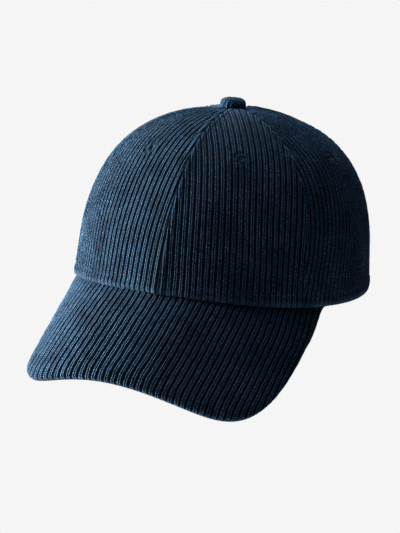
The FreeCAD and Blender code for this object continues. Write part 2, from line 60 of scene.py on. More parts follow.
HALF_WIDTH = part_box("side_panel_left")[1][0] / MM
HALF_FRONT = -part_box("front_panel_left")[0][1] / MM
HALF_BACK = 100.0
CROWN_HEIGHT = 105.0
PLAN_POWER = (2.2, 2.05, 2.6)       # roundness in front, at the side and behind
RISE_POWER = (1.95, 3.1, 2.6)
RIM_WAVE = 1.0
PANEL_TURN = math.pi / 3
SEAM_LEAN = math.radians(2.5)
BUTTON_HOLE = 2.5
CLOTH = 1.8                         # thickness of the corduroy

WALE_PITCH = 3.6
WALE_HEIGHT = 0.92
PILE_PROUD = 0.3
TUFT_LENGTH = 1.5

ARCH_HALF = 40.0
ARCH_TALL = 46.0
EYELET_RISE = math.radians(51.5)
EYELET_HOLE = 1.3
HEM_FOLD = 1.5
HEM_STITCH = 6.5 - HEM_FOLD         # height of the hem's stitches above the fold
SEAM_STITCH = 3.4
STITCH_PITCH = 3.2
STITCH_GAP = 0.8
THREAD_RADIUS = 0.34
THREAD_SUNK = 0.25

VISOR_HALF = 81.6
VISOR_LENGTH = 71.7
VISOR_GAIN = 0.47                   # how much longer the cloth is at the sides
VISOR_TRIM = 8.3                    # how much shorter it is on the wearer's right
VISOR_CORNER = (6.0, 4.9)
VISOR_SLOPE = math.radians(38)
VISOR_EDGE_SLOPE = math.radians(78)
VISOR_ROLL = 11.0
VISOR_THICK = 5.9
VISOR_PITCH = 3.85
VISOR_FAN = 0.104                   # share by which the wales spread towards the edge
VISOR_FAN_RUN = 40.0
VISOR_EASE = 0.0025                 # crowding of the wales towards the wearer's left


# ---------- small measures

def unit(vectors):
    return vectors / np.maximum(np.linalg.norm(vectors, axis=-1, keepdims=True), 1e-9)


def stacked(*parts):
    """Points or vectors from their x, y and z, each a number or an array."""
    return np.stack(np.broadcast_arrays(*parts), axis=-1)


def circle(count):
    """Angles spread evenly over a full turn."""
    return np.linspace(0, 2 * math.pi, count, endpoint=False)


def distances(line):
    """Distance along a polyline to each of its points."""
    return np.concatenate([[0], np.cumsum(np.linalg.norm(np.diff(line, axis=0), axis=1))])


def smooth_step(value, low, high):
    share = np.clip((value - low) / (high - low), 0, 1)
    return share * share * (3 - 2 * share)


def bell(value, width, middle=0.0, power=2):
    """1 at the middle and about a third one width away; a higher power has a flatter top."""
    return np.exp(-((value - middle) / width) ** power)


def ripple(points, wavelength, seed):
    """Smooth wandering value between about -1 and 1 that varies over the given distance."""
    local = np.random.default_rng(seed)
    total = np.zeros(points.shape[:-1])
    for wave in range(6):
        direction = unit(local.normal(size=3))
        length = wavelength * local.uniform(0.7, 1.5)
        total += np.sin(points @ direction * (2 * math.pi / length) + local.uniform(0, 6.28))
    return total / 2.6


def wale_relief(phase):
    """Height of the pile from 0 in the groove to 1 on the ridge; one wale per unit of phase."""
    from_ridge = np.abs(2 * (phase - np.floor(phase)) - 1)
    ridge = 1 - smooth_step(from_ridge, 0.46, 0.84)
    return ridge * (1 - 0.32 * bell(from_ridge, 0.17) - 0.12 * from_ridge ** 2)


# ---------- crown surface

def round_the_crown(turn, front, side, back):
    """Blends three values round the crown, from front through side to back."""
    ahead = np.maximum(np.cos(turn), 0) ** 2
    behind = np.maximum(-np.cos(turn), 0) ** 2
    return front * ahead + back * behind + side * (1 - ahead - behind)


def crown_reach(turn, climb):
    """Share of the rim's reach that is left once the crown has climbed that far, 0 to 1."""
    return (1 - climb ** round_the_crown(turn, *RISE_POWER)) ** (
        1 / round_the_crown(turn, *PLAN_POWER))


def rim_height(turn):
    return RIM_WAVE * (np.cos(2 * turn) + 1.2 * np.cos(3 * turn))


def crown_outside(turn, rise):
    turn, rise = np.broadcast_arrays(np.asarray(turn, float), np.asarray(rise, float))
    climb = np.clip(np.sin(rise), 0, 1)
    reach = crown_reach(turn, climb)
    length = np.where(np.cos(turn) > 0, HALF_FRONT, HALF_BACK)
    height = CROWN_HEIGHT * np.sin(np.minimum(rise, math.pi / 2))
    return stacked(HALF_WIDTH * np.sin(turn) * reach, -length * np.cos(turn) * reach,
                   height + rim_height(turn) * (1 - climb) ** 3)


def crown_normal(turn, rise):
    step = 0.002
    across = crown_outside(turn + step, rise) - crown_outside(turn - step, rise)
    upward = crown_outside(turn, rise + step) - crown_outside(turn, rise - step)
    return unit(np.cross(across, upward))


def crown_point(turn, rise, depth):
    return crown_outside(turn, rise) - crown_normal(turn, rise) * np.asarray(depth)[..., None]


def turn_scale(turn, rise):
    """Millimetres round the crown to each radian of turn."""
    step = 1e-3
    return np.linalg.norm(crown_outside(turn + step, rise) - crown_outside(turn - step, rise),
                          axis=-1) / (2 * step)


def rise_at_height(height):
    return np.arcsin(np.asarray(height, float) / CROWN_HEIGHT)


def rise_at_radius(turn, radius):
    """The rise at which the crown is that far from the button's axis."""
    turn = np.asarray(turn, float)
    low = np.full(turn.shape, math.pi / 4)
    high = np.full(turn.shape, math.pi / 2 - 1e-4)
    for halving in range(40):
        middle = (low + high) / 2
        point = crown_outside(turn, middle)
        outside = np.hypot(point[..., 0], point[..., 1]) > radius
        low, high = np.where(outside, middle, low), np.where(outside, high, middle)
    return middle


def back_place(x, height):
    """Turn and rise of the point on the crown's back at that x and height."""
    rise = rise_at_height(height)
    turn = np.full(np.shape(x), math.pi)
    for settle in range(6):
        reach = HALF_WIDTH * crown_reach(turn, np.sin(rise))
        turn = math.pi - np.arcsin(np.clip(np.asarray(x) / reach, -1, 1))
    return turn, rise


def seam_turn(seam, rise):
    """Turn of a seam at a rise; the seams either side of the front lean forwards to the rim."""
    lean = {1: -1, 5: 1}.get(seam, 0) * SEAM_LEAN
    return seam * PANEL_TURN + lean * np.cos(rise) ** 6


# ---------- meshes

CLOTH_VALUES = ("wale", "along", "worn_and_painted_light", "back")


def placed(name, data):
    """An object in the scene that carries the given mesh, camera or light."""
    item = bpy.data.objects.new(name, data)
    bpy.context.scene.collection.objects.link(item)
    return item


class Sheet:
    """Vertices, faces and cloth values of a piece while it is being built.

    wale counts the wales across the cloth and along runs up it in millimetres; the wear value goes
    to 1 where the pile is pressed flat, and is also raised as painted light where the cloth is
    lightened to stand in for light; back goes to 1 on the woven side.
    """

    def __init__(self):
        self.points, self.faces = [], []
        self.values = {label: [] for label in CLOTH_VALUES}
        self.count = 0

    def grid(self, points, wale=0.0, along=0.0, worn_and_painted_light=0.0, back=0.0, keep=None, close=False,
             flip=False):
        """Rows by columns of points; keep masks the faces, close joins last column to first."""
        rows, columns = points.shape[:2]
        index = self.count + np.arange(rows * columns).reshape(rows, columns)
        after = np.roll(index, -1, axis=1)
        quads = np.stack([index[:-1], after[:-1], after[1:], index[1:]], axis=-1)
        if not close:
            quads = quads[:, :-1]
        if flip:
            quads = quads[..., ::-1]
        self.faces.append(quads.reshape(-1, 4) if keep is None else quads[keep])
        self.points.append(points.reshape(-1, 3))
        for label, value in zip(CLOTH_VALUES, (wale, along, worn_and_painted_light, back)):
            self.values[label].append(np.broadcast_to(value, (rows, columns)).ravel())
        self.count += rows * columns

    def cap_ends(self, points, worn_and_painted_light=0.0):
        """Closes both ends of a tube of points, each with a fan to its middle."""
        for end, flip in ((0, False), (-1, True)):
            middle = np.broadcast_to(points[end].mean(axis=0), points[end].shape)
            self.grid(np.stack([points[end], middle]), worn_and_painted_light=worn_and_painted_light, close=True, flip=flip)

    def piece(self, name, material):
        """Makes the piece, in place of the CAD node of the same name."""
        points = np.concatenate(self.points) * MM
        used, quads = np.unique(np.concatenate(self.faces), return_inverse=True)
        quads = quads.reshape(-1, 4)
        mesh = bpy.data.meshes.new(name)
        mesh.vertices.add(len(used))
        mesh.vertices.foreach_set("co", points[used].astype(np.float32).ravel())
        mesh.loops.add(quads.size)
        mesh.loops.foreach_set("vertex_index", quads.astype(np.int32).ravel())
        mesh.polygons.add(len(quads))
        mesh.polygons.foreach_set("loop_start", np.arange(0, quads.size, 4, dtype=np.int32))
        mesh.polygons.foreach_set("use_smooth", np.full(len(quads), True))
        mesh.update(calc_edges=True)
        for label in CLOTH_VALUES:
            layer = mesh.attributes.new(label, "FLOAT", "POINT")
            values = np.concatenate(self.values[label])[used]
            layer.data.foreach_set("value", values.astype(np.float32))
        mesh.validate()
        mesh.materials.append(material)
        item = placed(name, mesh)
        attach(item, "cap")
        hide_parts(name)
        return item


def clear_faces(near):
    """Mask of a grid's faces that have no corner among the marked points."""
    return ~(near[:-1, :-1] | near[1:, :-1] | near[:-1, 1:] | near[1:, 1:])


def border(points):
    """The points round the outside of a grid, once round."""
    return np.concatenate([points[0], points[1:, -1], points[-1, -2::-1], points[-2:0:-1, 0]])


def along_line(line, places):
    """Points of a polyline at the given distances along it."""
    length = distances(line)
    return np.stack([np.interp(places, length, line[:, axis]) for axis in range(3)], axis=-1)


def smoothed(line, reach=7):
    """A polyline evened out over a few of its points."""
    kernel = np.ones(reach) / reach
    padded = np.pad(line, ((reach // 2, reach // 2), (0, 0)), "edge")
    return np.stack([np.convolve(padded[:, axis], kernel, "valid") for axis in range(3)], axis=-1)


def stitch_row(cloth, line, outward):
    """Lockstitches along a line: short round threads that dip into the cloth at both ends."""
    total = distances(line)[-1]
    share = np.linspace(0, 1, 6)
    arch = np.sin(share * math.pi) ** 0.5
    thick = THREAD_RADIUS * (0.35 + 0.65 * arch)
    lift = THREAD_RADIUS * (0.9 * arch - 1) - THREAD_SUNK
    spin = circle(6)[None, :, None]
    for stitch in range(int(total / STITCH_PITCH)):
        places = (stitch + share) * STITCH_PITCH + STITCH_GAP * (0.5 - share)
        middle = along_line(line, places)
        nearest = int((stitch + 0.5) * STITCH_PITCH / total * len(outward))
        up = outward[min(nearest, len(outward) - 1)]
        sideways = unit(np.cross(up, unit(middle[-1] - middle[0])))
        ring = np.cos(spin) * sideways + np.sin(spin) * up
        centre = middle + up * lift[:, None]
        cloth.grid(centre[:, None] + ring * thick[:, None, None], 0.0, places[:, None],
                   worn_and_painted_light=1.0, back=0.75, close=True)


def rounded_section(half_wide, half_thick, edge_points=5, face_points=8):
    """Closed outline of a flat strip with round edges, as (across, outward) pairs."""
    turn = np.linspace(-math.pi / 2, math.pi / 2, edge_points)
    flat = half_wide - half_thick
    right = stacked(flat + half_thick * np.cos(turn), half_thick * np.sin(turn))
    top = stacked(np.linspace(flat, -flat, face_points + 2)[1:-1], half_thick)
    return np.concatenate([right, top, -right, -top])


# ---------- materials

class Surface:
    """A node material being made; its values are numbers, colours or other nodes' outputs."""

    def __init__(self, name):
        self.material = bpy.data.materials.new(name)
        self.material.use_nodes = True
        self.nodes = self.material.node_tree.nodes
        self.place = self.nodes.new("ShaderNodeTexCoord").outputs["Object"]

    def feed(self, node, *values, **named):
        """Links or sets a node's inputs, in order or by name with _ for each space."""
        pairs = list(zip(node.inputs, values))
        pairs += [(node.inputs[label.replace("_", " ")], named[label]) for label in named]
        for socket, value in pairs:
            if isinstance(value, bpy.types.NodeSocket):
                self.material.node_tree.links.new(value, socket)
            else:
                socket.default_value = (*value, 1) if socket.type == "RGBA" else value
        return node

    def node(self, kind, **settings):
        node = self.nodes.new("ShaderNode" + kind)
        for label, value in settings.items():
            setattr(node, label, value)
        return node

    def maths(self, operation, *values):
        return self.feed(self.node("Math", operation=operation), *values).outputs[0]

    def add(self, first, *more):
        for term in more:
            first = self.maths("ADD", first, term)
        return first

    def less(self, first, second):
        return self.maths("SUBTRACT", first, second)

    def gap(self, first, second):
        return self.maths("ABSOLUTE", self.less(first, second))

    def times(self, first, second):
        return self.maths("MULTIPLY", first, second)

    def scaled(self, value, factor, plus):
        return self.maths("MULTIPLY_ADD", value, factor, plus)

    def wave(self, value, pitch):
        return self.maths("SINE", self.times(value, 2 * math.pi / pitch))

    def step(self, value, low, high):
        """Smooth step from 0 at low to 1 at high."""
        node = self.node("MapRange", interpolation_type="SMOOTHSTEP")
        return self.feed(node, value, low, high).outputs[0]

    def ramp(self, factor, *stops):
        node = self.node("ValToRGB")
        while len(node.color_ramp.elements) < len(stops):
            node.color_ramp.elements.new(0.5)
        for element, (place, colour) in zip(node.color_ramp.elements, stops):
            element.position = place
            element.color = (*colour, 1)
        return self.feed(node, factor).outputs[0]

    def noise(self, scale, detail=2.0, roughness=0.5, vector=None):
        node = self.feed(self.node("TexNoise"), self.place if vector is None else vector,
                         Scale=scale, Detail=detail, Roughness=roughness)
        return node.outputs["Fac"]

    def attribute(self, name):
        return self.node("Attribute", attribute_name=name).outputs["Fac"]

    def axes(self):
        """The object's own x, y and z."""
        return list(self.feed(self.node("SeparateXYZ"), self.place).outputs)

    def bump(self, height, distance, strength, before=None):
        node = self.node("Bump")
        if before is not None:
            self.feed(node, Normal=before)
        return self.feed(node, Height=height, Distance=distance * MM,
                         Strength=strength).outputs[0]

    def mix(self, first, second, factor, blend="MIX"):
        node = self.node("Mix", data_type="RGBA", blend_type=blend)
        return self.feed(node, Factor=factor, A=first, B=second).outputs["Result"]

    def tint(self, first, second, factor=1.0):
        """The first colour multiplied by the second."""
        return self.mix(first, second, factor, "MULTIPLY")

    def finish(self, **inputs):
        """Sets the shader's own sockets and hands the material over."""
        self.feed(self.nodes["Principled BSDF"], **inputs)
        return self.material


def corduroy_material(name, groove_share=1.0, painted_lightness=1.0):
    """Cut pile in wales: two rows of tufts on each ridge, bare cloth in the grooves; the grooves
    and the pits are painted darker as shade, and the tuft tops lighter as painted highlight.
    """
    cloth = Surface(name)
    wale, along, worn_and_painted_light, back = (cloth.attribute(label) for label in CLOTH_VALUES)
    neither_worn_nor_painted = cloth.less(1.0, worn_and_painted_light)
    frizz = cloth.times(cloth.less(cloth.noise(1500.0), 0.5), 0.16)
    share = cloth.maths("FRACT", cloth.add(wale, frizz))
    from_ridge = cloth.gap(cloth.times(share, 2.0), 1.0)
    # painted shade: the grooves get a colour darker than the bare cloth, standing in for their
    # shade
    groove = cloth.times(cloth.step(from_ridge, 0.60, 0.84),
                         cloth.times(cloth.scaled(neither_worn_nor_painted, 0.9, 0.1), groove_share))

    # two rows of tufts stand on a ridge, with a line of pits between them; the pile's colour
    # follows their height: painted shade in the pits, painted highlight on the tuft tops
    second_row = cloth.maths("GREATER_THAN", share, 0.5)
    wander = cloth.times(cloth.noise(420.0, 1.0), 1.5)
    count = cloth.add(cloth.maths("DIVIDE", along, TUFT_LENGTH), wander)
    staggered = cloth.add(count, cloth.times(second_row, 0.35))
    lengthwise = cloth.maths("POWER", cloth.maths("ABSOLUTE", cloth.wave(staggered, 2.0)), 1.3)
    crosswise = cloth.step(cloth.gap(from_ridge, 0.36), 0.38, 0.08)
    tuft = cloth.times(crosswise, cloth.scaled(lengthwise, 0.78, 0.22))
    pit = cloth.times(cloth.step(from_ridge, 0.30, 0.06),
                      cloth.scaled(cloth.wave(count, 1.0), 0.45, 0.55))
    tuft = cloth.less(tuft, cloth.times(pit, 0.65))
    flattened_and_painted_light = cloth.times(worn_and_painted_light, cloth.noise(900.0, 3.0, 0.7))
    tuft = cloth.add(cloth.times(tuft, neither_worn_nor_painted), flattened_and_painted_light)

    fibre = cloth.noise(3800.0, 3.0, 0.7)
    speck = cloth.noise(1000.0, 1.0)
    patch = cloth.noise(60.0, 3.0, 0.6)
    # pile colour by tuft height: the dark end is painted shade in the pits and low pile, the light
    # end a painted highlight on the tuft tops
    stops = ((0.0, (0.0034, 0.0105, 0.0243)), (0.35, (0.0130, 0.0355, 0.0724)),
             (1.0, (0.0700, 0.165, 0.297)))
    pile = cloth.ramp(tuft, *((at, tuple(painted_lightness * part for part in shade))
                              for at, shade in stops))
    # pressed-flat pile is lighter; where the wear value carries painted light, this lightening is
    # painted light
    pile = cloth.tint(pile, (1.68, 1.72, 1.72), worn_and_painted_light)
    # random speckle of the pile's tone, partly standing in for glints on the tuft tips: partly
    # painted highlight
    pile = cloth.tint(pile, cloth.ramp(speck, (0.34, (0.58, 0.60, 0.62)),
                                       (0.5, (0.97, 0.97, 0.97)), (0.68, (1.65, 1.6, 1.55))))
    pile = cloth.tint(pile, cloth.ramp(patch, (0.36, (0.68, 0.68, 0.70)),
                                       (0.5, (1.0, 1.0, 1.0)), (0.64, (1.3, 1.28, 1.25))))
    # painted shade in the grooves between the wales
    pile = cloth.mix(pile, (0.0021, 0.0074, 0.0190), groove)

    # the woven side: fine twill lines
    twill = cloth.add(cloth.times(cloth.wave(cloth.add(*cloth.axes()), 0.7 * MM), 0.3), fibre)
    weave = cloth.ramp(twill, (0.25, (0.006, 0.014, 0.028)), (0.8, (0.022, 0.052, 0.095)))

    raised = cloth.bump(speck, 0.3, 0.4, cloth.bump(tuft, 0.45, 1.0))
    return cloth.finish(
        Base_Color=cloth.mix(pile, weave, back), Normal=cloth.bump(fibre, 0.16, 0.8, raised),
        Roughness=0.95, Specular_IOR_Level=0.04, Sheen_Weight=0.085, Sheen_Roughness=0.5,
        Sheen_Tint=(0.66, 0.80, 0.93))


def twill_material(name, colour, pale, pitch=0.55):
    """Diagonal twill weave of two tones."""
    cloth = Surface(name)
    lines = cloth.scaled(cloth.wave(cloth.add(*cloth.axes()), pitch * MM), 0.5, 0.5)
    fibre = cloth.noise(3500.0, 3.0, 0.6)
    weave = cloth.add(cloth.times(lines, 0.6), cloth.times(fibre, 0.5))
    return cloth.finish(
        Base_Color=cloth.ramp(weave, (0.2, colour), (0.85, pale)),
        Normal=cloth.bump(weave, 0.1, 0.7), Roughness=0.9, Specular_IOR_Level=0.2,
        Sheen_Weight=0.1)


def thread_material(name, colour, pale):
    thread = Surface(name)
    # the thread's tone varies at random from near black to pale navy: the pale flecks are painted
    # glints and the near black painted shade in the eyelets
    twist = thread.noise(4200.0)
    return thread.finish(
        Base_Color=thread.ramp(twist, (0.3, colour), (0.7, pale)),
        Normal=thread.bump(twist, 0.08, 0.6), Roughness=0.8, Specular_IOR_Level=0.12)


def brass_material(name):
    """Brass brushed along z and unevenly tarnished."""
    brass = Surface(name)
    stretch = brass.feed(brass.node("VectorMath", operation="MULTIPLY"), brass.place, (1, 1, 0.06))
    brushed = brass.noise(9000.0, vector=stretch.outputs[0])
    tarnish = brass.noise(220.0, 4.0, 0.6)
    return brass.finish(
        Base_Color=brass.ramp(tarnish, (0.35, (0.22, 0.14, 0.06)), (0.6, (0.42, 0.30, 0.14)),
                              (0.8, (0.52, 0.39, 0.19))),
        Roughness=brass.scaled(brushed, 0.25, 0.22), Normal=brass.bump(brushed, 0.02, 0.5),
        Metallic=1.0)


def plain_weave_material(name, colour, pale, pitch):
    """Fine open weave, for the interlining and the label, or a coarse one as a grain."""
    cloth = Surface(name)
    x, y, z = cloth.axes()
    waves = [cloth.wave(value, pitch * MM) for value in (cloth.add(x, y), z)]
    weave = cloth.scaled(cloth.times(*waves), 0.5, 0.5)
    mixed = cloth.add(cloth.times(weave, 0.5), cloth.times(cloth.noise(2500.0, 3.0), 0.5))
    return cloth.finish(
        Base_Color=cloth.ramp(mixed, (0.2, colour), (0.8, pale)),
        Normal=cloth.bump(mixed, 0.08, 0.6), Roughness=0.85)


CORDUROY = corduroy_material("navy_corduroy")
VISOR_CORDUROY = corduroy_material("navy_corduroy_visor", 0.78)
TWILL = twill_material("navy_twill", (0.006, 0.010, 0.020), (0.022, 0.036, 0.062))
TAPE = twill_material("navy_tape", (0.008, 0.013, 0.025), (0.028, 0.045, 0.075), 0.8)
# a lighter copy of the corduroy for the button, with shallower groove shade: painted light
BUTTON_CORDUROY_PAINTED_LIGHTER = corduroy_material("navy_corduroy_drawn_tight_painted_lighter", 0.22, 1.35)
THREAD = thread_material("navy_thread", (0.002, 0.006, 0.014), (0.075, 0.165, 0.280))
INTERLINING = plain_weave_material("interlining", (0.012, 0.014, 0.018), (0.05, 0.055, 0.065), 0.9)
SATIN = plain_weave_material("label_satin", (0.55, 0.55, 0.52), (0.78, 0.78, 0.75), 0.35)
FOAM = plain_weave_material("foam", (0.5, 0.5, 0.48), (0.72, 0.72, 0.7), 1.4)
BOARD = plain_weave_material("board_plastic", (0.6, 0.6, 0.58), (0.7, 0.7, 0.68), 3)
BRASS = brass_material("aged_brass")


# ---------- crown panels

PANELS = ["front_panel_left", "side_panel_left", "back_panel_left",
          "back_panel_right", "side_panel_right", "front_panel_right"]
FINE = 0.45
PANEL_COLUMNS = int(97.0 / FINE)
PANEL_ROWS = 190
# lean of a panel's wales from its centre line: at the rim, further up, and where it changes
GRAIN = {0: (0.0, 4.0, 90.0), 1: (-13.0, -13.0, 50.0), 5: (2.5, 10.5, 53.0)}
GRAIN_BLEND = 6.0


def grain_shift(panel, along):
    """Sideways move of the wales up a panel whose cloth was cut or sewn a little askew."""
    low, high, place = GRAIN.get(panel, (0.0, 0.0, 50.0))
    low, high = math.tan(math.radians(low)), math.tan(math.radians(high))
    change = GRAIN_BLEND * np.log1p(np.exp((along - place) / GRAIN_BLEND))
    return low * along + (high - low) * change


def lower_edge(turn):
    """Rise at which a panel starts: the fold at the rim, or at the back opening's edge."""
    rise = rise_at_height(np.full(turn.shape, HEM_FOLD))
    for settle in range(8):
        share = 1 - (crown_outside(turn, rise)[..., 0] / (ARCH_HALF + HEM_FOLD)) ** 2
        arch = (ARCH_TALL + HEM_FOLD) * np.sqrt(np.maximum(share, 0))
        opening = np.where(np.cos(turn) < 0, arch, 0)
        rise = rise * 0.3 + 0.7 * rise_at_height(np.maximum(opening, HEM_FOLD))
    return rise


def eyelet_centre(panel):
    turn = (panel + 0.5) * PANEL_TURN
    return crown_outside(turn, EYELET_RISE), crown_normal(turn, EYELET_RISE)


def panel_area(panel):
    """A panel's grid, columns across it and rows up it, with the distances on it."""
    middle = (panel + 0.5) * PANEL_TURN
    across = np.linspace(0, 1, PANEL_COLUMNS + 1)[None, :]
    up = np.linspace(0, 1, PANEL_ROWS + 1)[:, None] ** 0.93
    high = rise_at_radius((panel + across) * PANEL_TURN, BUTTON_HOLE)
    rise = np.zeros((1, 1))
    for settle in range(5):
        first, last = seam_turn(panel, rise), seam_turn(panel + 1, rise)
        turn = first + (last - first) * across
        low = lower_edge(turn[0])[None, :]
        rise = low + (high - low) * up
    first, last = seam_turn(panel, rise), seam_turn(panel + 1, rise)

    # distance across the cloth from the panel's centre line, and height up that line
    side = np.mean([turn_scale(middle + (turn - middle) * share, rise)
                    for share in np.linspace(0, 1, 25)], axis=0) * (turn - middle)
    ladder = np.linspace(0, math.pi / 2 - 1e-3, 400)
    climb = distances(crown_outside(middle, ladder))
    along = np.interp(rise, ladder, climb)
    points, centre = crown_outside(turn, rise), eyelet_centre(panel)[0]
    return SimpleNamespace(
        turn=turn, rise=rise, points=points, normal=crown_normal(turn, rise), side=side,
        along=along, to_seam=turn_scale(turn, rise) * np.minimum(turn - first, last - turn),
        to_hem=along - along[:1], eyelet=centre,
        to_eyelet=np.linalg.norm(points - centre, axis=-1),
        to_button=np.hypot(points[..., 0], points[..., 1]))


def panel_wear_and_painted_light(panel, area):
    """How far the pile is pressed flat, 0 to 1: by seams, eyelet, button, hem and stitches; it
    also carries painted light on the front right panel and round the button.
    """
    flattened_and_painted_light = [
        # painted light: the front right panel, on the side the key lamp lights, gets a little
        # wear, which lightens its pile and lowers its wales
        np.full(area.rise.shape, 0.16 * (panel == 5)),
        0.6 * bell(area.to_seam, 0.9, power=4),
        bell(area.to_eyelet, 4.6, power=6),
        # the pile round the button is pressed flat; its lightening also stands in for light from
        # above on the crown's top, so it is partly painted light
        0.8 * (1 - smooth_step(area.to_button, 9, 30)),
        0.7 * (1 - smooth_step(area.to_hem, 0.5, 3.5)),
        0.5 * bell(area.to_hem, 0.9, HEM_STITCH)]
    if panel == 5:
        band = bell(area.to_seam, 2.2, 2.0, power=4) * (area.turn > (panel + 0.5) * PANEL_TURN)
        flattened_and_painted_light.append(0.7 * band * smooth_step(area.along, 80, 100))
    return np.maximum.reduce(flattened_and_painted_light)


def panel_depth(panel, area, worn_and_painted_light, phase):
    """Depth of the cloth's outside: its wales, and its dents and swellings."""
    relief = WALE_HEIGHT * (1 - 0.85 * worn_and_painted_light) * wale_relief(phase)
    relief *= 1 + 0.08 * ripple(area.points, 5.5, 60 + panel)
    depth = WALE_HEIGHT - PILE_PROUD - relief - WALE_HEIGHT * 0.55 * worn_and_painted_light

    # the seam's furrow, the swelling beside it and the sunken stitches
    depth += 0.7 * bell(area.to_seam, 0.6) - 0.18 * bell(area.to_seam, 1.0, 1.9)
    depth += ((0.15 + 0.25 * smooth_step(area.along, 70, 100))
              * bell(area.to_seam, 0.5, SEAM_STITCH))
    depth += 0.45 * bell(area.to_hem, 0.6, HEM_STITCH)
    depth -= 0.6 * bell(area.to_hem, 2.6, 1.5) + 1.2 * bell(area.to_hem, 12)

    # the seams stand up a little, most of all the stiff one in front
    keel = np.exp(-area.to_seam / 8.0) * (1 - smooth_step(area.to_button, 60, 20))
    at_front = np.cos(area.turn) > math.cos(PANEL_TURN / 2)
    depth -= np.where(at_front, 1.5, 0.6) * keel

    # the eyelet's dent, and the pucker round it
    depth += 1.3 * bell(area.to_eyelet, 4.0, power=4) - 0.4 * bell(area.to_eyelet, 1.6, 6.0)
    spoke = np.arctan2((area.points - area.eyelet)[..., 2], area.side)
    depth += 0.22 * bell(area.to_eyelet, 2.4, 5.0) * np.sin(spoke * 7 + panel)
    return depth - 0.45 * ripple(area.points, 70, 70 + panel)


def turn_under(cloth, area, outer, phase):
    """The hem or the opening's edge: the cloth turns under and runs up inside."""
    edge, edge_normal = outer[0], area.normal[0]
    away = unit(np.cross(unit(np.gradient(area.points[0], axis=0)), edge_normal))
    away *= np.where(((area.points[0] - area.points[4]) * away).sum(-1) > 0, 1, -1)[:, None]
    rows = [edge + away * HEM_FOLD * math.sin(angle)
            - edge_normal * (HEM_FOLD * 0.85 * (1 - math.cos(angle)))
            for angle in np.linspace(0, math.pi, 9)]
    rows += [rows[-1] - away * climb for climb in (2.5, 5.0, 8.0)]
    cloth.grid(np.stack(rows), phase[:1], area.along[:1] - np.arange(len(rows))[:, None] * 0.6,
               worn_and_painted_light=0.6, flip=True)


def line_panel(cloth, area, outer, phase):
    """Seam allowances turned in at the two long edges, and the cloth's back inside the cap."""
    for column, flip in ((0, True), (-1, False)):
        strip = np.stack([outer[:, column] - area.normal[:, column] * down
                          for down in (0, 0.8, CLOTH)], axis=1)
        cloth.grid(strip, phase[:, column, None], area.along[:, column, None], worn_and_painted_light=0.8, flip=flip)
    thin = (slice(None, None, 5), slice(None, None, 6))
    lining = crown_point(area.turn[thin], area.rise[thin], CLOTH)
    near = np.linalg.norm(lining - area.eyelet, axis=-1) < 2 * EYELET_HOLE
    cloth.grid(lining, 0.0, area.along[thin], back=1.0, keep=clear_faces(near), flip=True)


def topstitch(cloth, area, outer):
    """Rows of stitches beside both seams and above the hem."""
    columns = np.arange(outer.shape[1])
    half = outer.shape[1] // 2
    rows = [row for row in range(8, outer.shape[0] - 4) if area.to_seam[row, half] > 7]
    for part in (slice(0, half), slice(None, half, -1)):
        places = [np.interp(SEAM_STITCH, area.to_seam[row, part], columns[part]) for row in rows]
        spots = (rows, np.rint(places).astype(int))
        stitch_row(cloth, smoothed(outer[spots]), area.normal[spots])
    row = int(np.argmin(np.abs(area.to_hem[:, half] - HEM_STITCH)))
    stitch_row(cloth, smoothed(outer[row, 6:-6]), area.normal[row, 6:-6])


def crown_panel(panel, name):
    area = panel_area(panel)
    wander = sum(size * ripple(area.points, length, seed + panel)
                 for size, length, seed in ((0.2, 60, 40), (0.05, 9, 50), (0.03, 3.0, 55)))
    phase = (area.side + grain_shift(panel, area.along) + wander) / WALE_PITCH + 0.5
    worn_and_painted_light = panel_wear_and_painted_light(panel, area)
    outer = area.points - area.normal * panel_depth(panel, area, worn_and_painted_light, phase)[..., None]
    cloth = Sheet()
    cloth.grid(outer, phase, area.along, worn_and_painted_light, keep=clear_faces(area.to_eyelet < EYELET_HOLE))
    turn_under(cloth, area, outer, phase)
    line_panel(cloth, area, outer, phase)
    topstitch(cloth, area, outer)
    cloth.piece(name, CORDUROY)


for number, panel_name in enumerate(PANELS):
    crown_panel(number, panel_name)


# ---------- visor

def visor_edge(across):
    """Length of the visor's cloth from the joint to its edge."""
    corner = (1 - np.abs(across) ** VISOR_CORNER[0]) ** (1 / VISOR_CORNER[1])
    trim = 1.0 - VISOR_TRIM * smooth_step(-across, -0.45, 1.0)
    return (VISOR_LENGTH * (1 + VISOR_GAIN * across ** 2) + trim) * corner


def visor_outside(across, travel):
    """Point on the visor's upper face; travel runs along the cloth from the joint."""
    turn = np.arcsin(VISOR_HALF * across / HALF_WIDTH)
    x = VISOR_HALF * across + 1.8 * smooth_step(across, 0.5, 1.0) * smooth_step(travel, 4, 30)
    x = x - 1.2 * smooth_step(-across, 0.6, 1.0) * smooth_step(travel, 58, 80)
    edge = visor_edge(across)
    roll = np.minimum(VISOR_ROLL, edge)
    bend = (VISOR_EDGE_SLOPE - VISOR_SLOPE) * (1 - 0.98 * across ** 6) / roll
    straight = np.minimum(travel, edge - roll)
    now = VISOR_SLOPE + bend * np.maximum(travel - (edge - roll), 0)
    forward = straight * math.cos(VISOR_SLOPE) + (np.sin(now) - math.sin(VISOR_SLOPE)) / bend
    down = straight * math.sin(VISOR_SLOPE) + (math.cos(VISOR_SLOPE) - np.cos(now)) / bend
    return stacked(x, -HALF_FRONT * np.cos(turn) - forward, rim_height(turn) - down)


def visor_normal(across, travel):
    step = 1e-3
    inner = np.where(across < 0, across + step, across - step)
    sideways = visor_outside(inner, travel) - visor_outside(across, travel)
    sideways *= np.where(across < 0, 1, -1)[..., None]
    ahead = visor_outside(across, travel) - visor_outside(across, travel - 0.05)
    return unit(np.cross(ahead, sideways))


